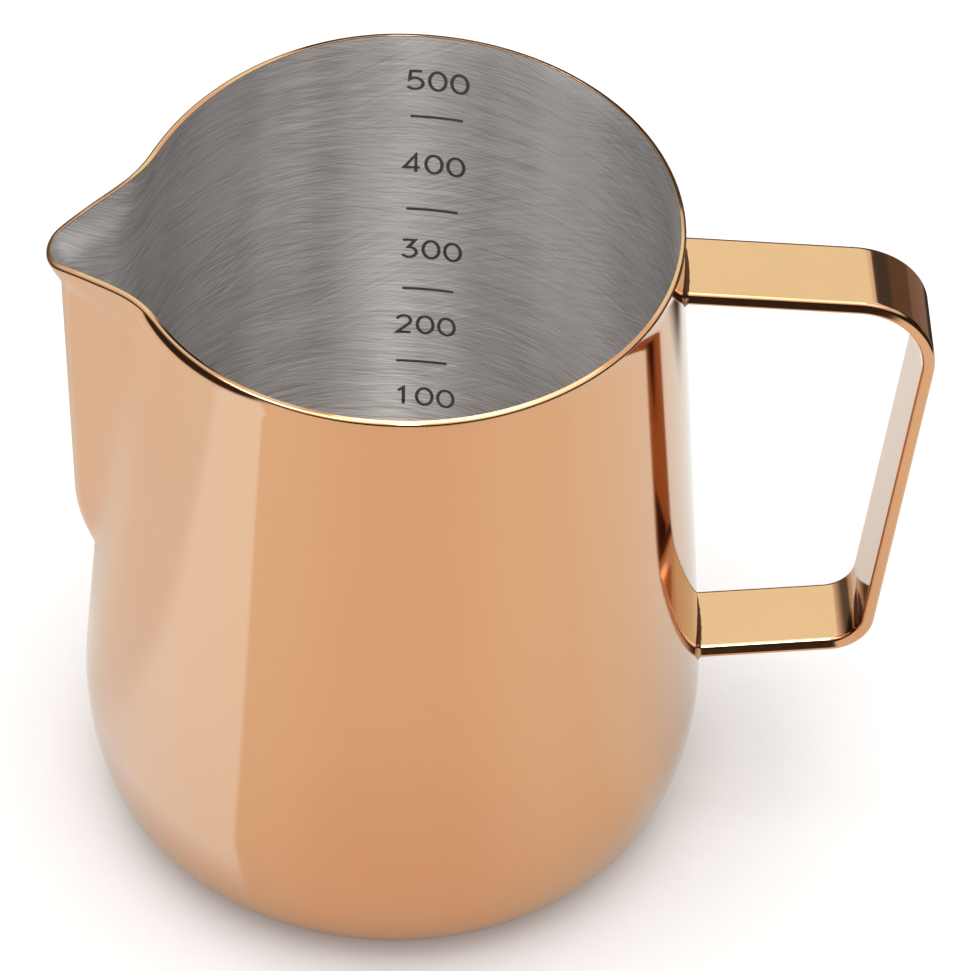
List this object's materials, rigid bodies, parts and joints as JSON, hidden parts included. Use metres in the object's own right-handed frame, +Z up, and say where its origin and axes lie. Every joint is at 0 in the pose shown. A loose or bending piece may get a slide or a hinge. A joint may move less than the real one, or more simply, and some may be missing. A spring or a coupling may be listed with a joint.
{
  "type": "milk frothing jug",
  "caption": "Open steel milk frothing jug with a tapered round body, a pressed pouring spout, measuring marks inside and a bent strip handle opposite the spout.",
  "frame": {"origin": "centre of the flat base, on the surface that the jug stands on", "axes": "+Z up along the body's axis, +X towards the handle, -X towards the spout, +Y to the left as seen from the handle looking at the spout"},
  "size_m": [0.1244, 0.09, 0.1081],
  "materials": {
    "outer_finish": "mirror-polished steel with a rose gold coating",
    "inner_steel": "bare stainless steel, brushed round the axis",
    "weld_seam": "coated weld seam, slightly rougher than the polished sheet",
    "etched_marks": "dark, matt, laser-marked steel"
  },
  "bodies": {
    "root": {"jug_body": "outer_finish", "handle": "outer_finish", "upper_handle_weld": "weld_seam", "lower_handle_weld": "weld_seam"}
  },
  "joints": []
}
